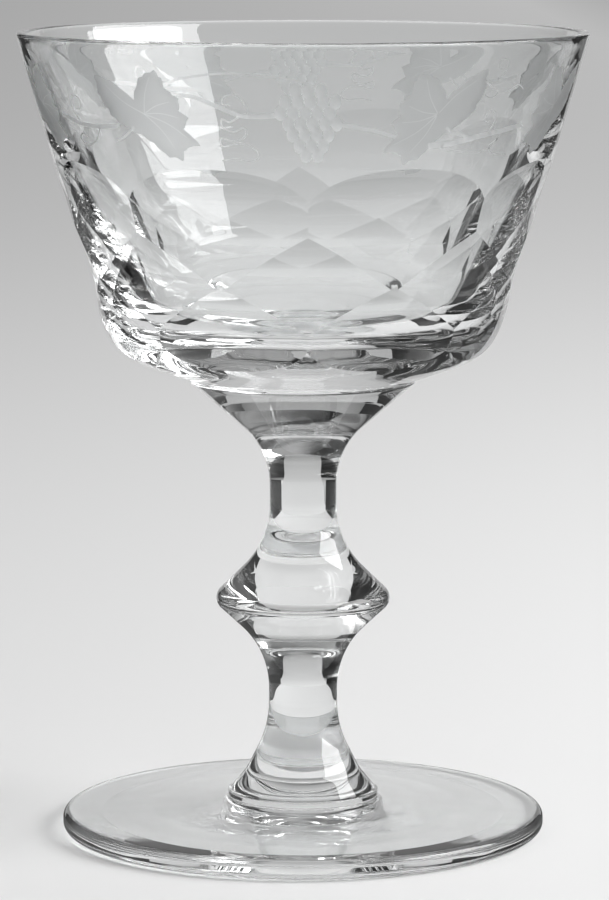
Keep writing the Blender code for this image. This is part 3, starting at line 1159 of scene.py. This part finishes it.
window_light = bpy.data.lights.new("window", "AREA")
window_light.shape = "RECTANGLE"
window_light.size = WINDOW_WIDTH
window_light.size_y = WINDOW_HEIGHT
window_light.energy = WINDOW_POWER
window = bpy.data.objects.new("window", window_light)
level = WINDOW_DISTANCE * math.cos(WINDOW_ELEVATION)
window.location = (
    level * math.sin(WINDOW_AZIMUTH),
    -level * math.cos(WINDOW_AZIMUTH),
    WINDOW_AIM_HEIGHT + WINDOW_DISTANCE * math.sin(WINDOW_ELEVATION),
)
window.rotation_euler = (math.pi / 2 - WINDOW_ELEVATION, 0.0, WINDOW_AZIMUTH)
bpy.context.scene.collection.objects.link(window)

room = bpy.data.worlds.new("room")
bpy.context.scene.world = room
room.use_nodes = True
tree = room.node_tree
tree.nodes.clear()
place = add_node(tree, "ShaderNodeTexCoord")
parts = add_node(tree, "ShaderNodeSeparateXYZ", {"Vector": place.outputs["Generated"]})
across = add_node(
    tree,
    "ShaderNodeMath",
    {0: parts.outputs["X"], 1: ROOM_RIGHTWARDS, 2: ROOM_MIDDLE},
    operation="MULTIPLY_ADD",
)
toward = add_node(
    tree,
    "ShaderNodeMath",
    {0: parts.outputs["Y"], 1: ROOM_BACKWARDS, 2: across.outputs[0]},
    operation="MULTIPLY_ADD",
)
walls = add_node(tree, "ShaderNodeValToRGB", {"Fac": toward.outputs[0]})
set_tones(walls.color_ramp, ROOM_TONES)
overhead, rightwards = (
    add_node(
        tree,
        "ShaderNodeMapRange",
        {"Value": parts.outputs[axis], "From Min": start, "From Max": end},
        interpolation_type="SMOOTHSTEP",
    )
    for axis, (start, end) in (("Z", CEILING_RISE), ("X", CEILING_SIDE))
)
lit = add_node(
    tree,
    "ShaderNodeMath",
    {0: overhead.outputs["Result"], 1: rightwards.outputs["Result"]},
    operation="MULTIPLY",
)
ceiling = add_node(
    tree,
    "ShaderNodeMix",
    {"Factor": lit.outputs[0], 6: walls.outputs["Color"], 7: linear(CEILING_TONE)},
    data_type="RGBA",
)
path = add_node(tree, "ShaderNodeLightPath")
bent = add_node(
    tree,
    "ShaderNodeMath",
    {0: path.outputs["Is Glossy Ray"], 1: path.outputs["Is Transmission Ray"]},
    operation="MAXIMUM",
)
before_matt = add_node(
    tree,
    "ShaderNodeMath",
    {0: path.outputs["Diffuse Depth"], 1: FIRST_MATT_BOUNCE},
    operation="LESS_THAN",
)
seen = add_node(
    tree, "ShaderNodeMath", {0: bent.outputs[0], 1: before_matt.outputs[0]}, operation="MULTIPLY"
)
shown = add_node(
    tree,
    "ShaderNodeMix",
    {"Factor": seen.outputs[0], 6: linear(FILL_TONE), 7: ceiling.outputs[2]},
    data_type="RGBA",
)
sky = add_node(tree, "ShaderNodeBackground", {"Color": shown.outputs[2], "Strength": 1.0})
add_node(tree, "ShaderNodeOutputWorld", {"Surface": sky.outputs["Background"]})

# Camera: a long lens a little above the rim, looking down at the glass.
# Light keeps its path through the glass, unblurred, so that the paper under the foot stays bright.

CAMERA_TURN = math.radians(-1.2)
CAMERA_DISTANCE = 0.662
CAMERA_HEIGHT = 0.1513
CAMERA_PITCH = math.radians(7.909)
CAMERA_SENSOR = 36.0
CAMERA_LENS = 172.6
CAMERA_SHIFT = 1.5 / 900
BENT_BOUNCES = 32
MIRRORED_BOUNCES = 16

camera_data = bpy.data.cameras.new("camera")
camera_data.sensor_width = CAMERA_SENSOR
camera_data.lens = CAMERA_LENS
camera_data.shift_x = CAMERA_SHIFT
camera = bpy.data.objects.new("camera", camera_data)
camera.location = (
    CAMERA_DISTANCE * math.sin(CAMERA_TURN),
    -CAMERA_DISTANCE * math.cos(CAMERA_TURN),
    CAMERA_HEIGHT,
)
camera.rotation_euler = (math.pi / 2 - CAMERA_PITCH, 0.0, CAMERA_TURN)
bpy.context.scene.collection.objects.link(camera)
bpy.context.scene.camera = camera
bpy.context.scene.view_settings.view_transform = "Standard"
cycles = bpy.context.scene.cycles
cycles.max_bounces = BENT_BOUNCES
cycles.transmission_bounces = BENT_BOUNCES
cycles.glossy_bounces = MIRRORED_BOUNCES
cycles.transparent_max_bounces = BENT_BOUNCES
cycles.blur_glossy = 0.0
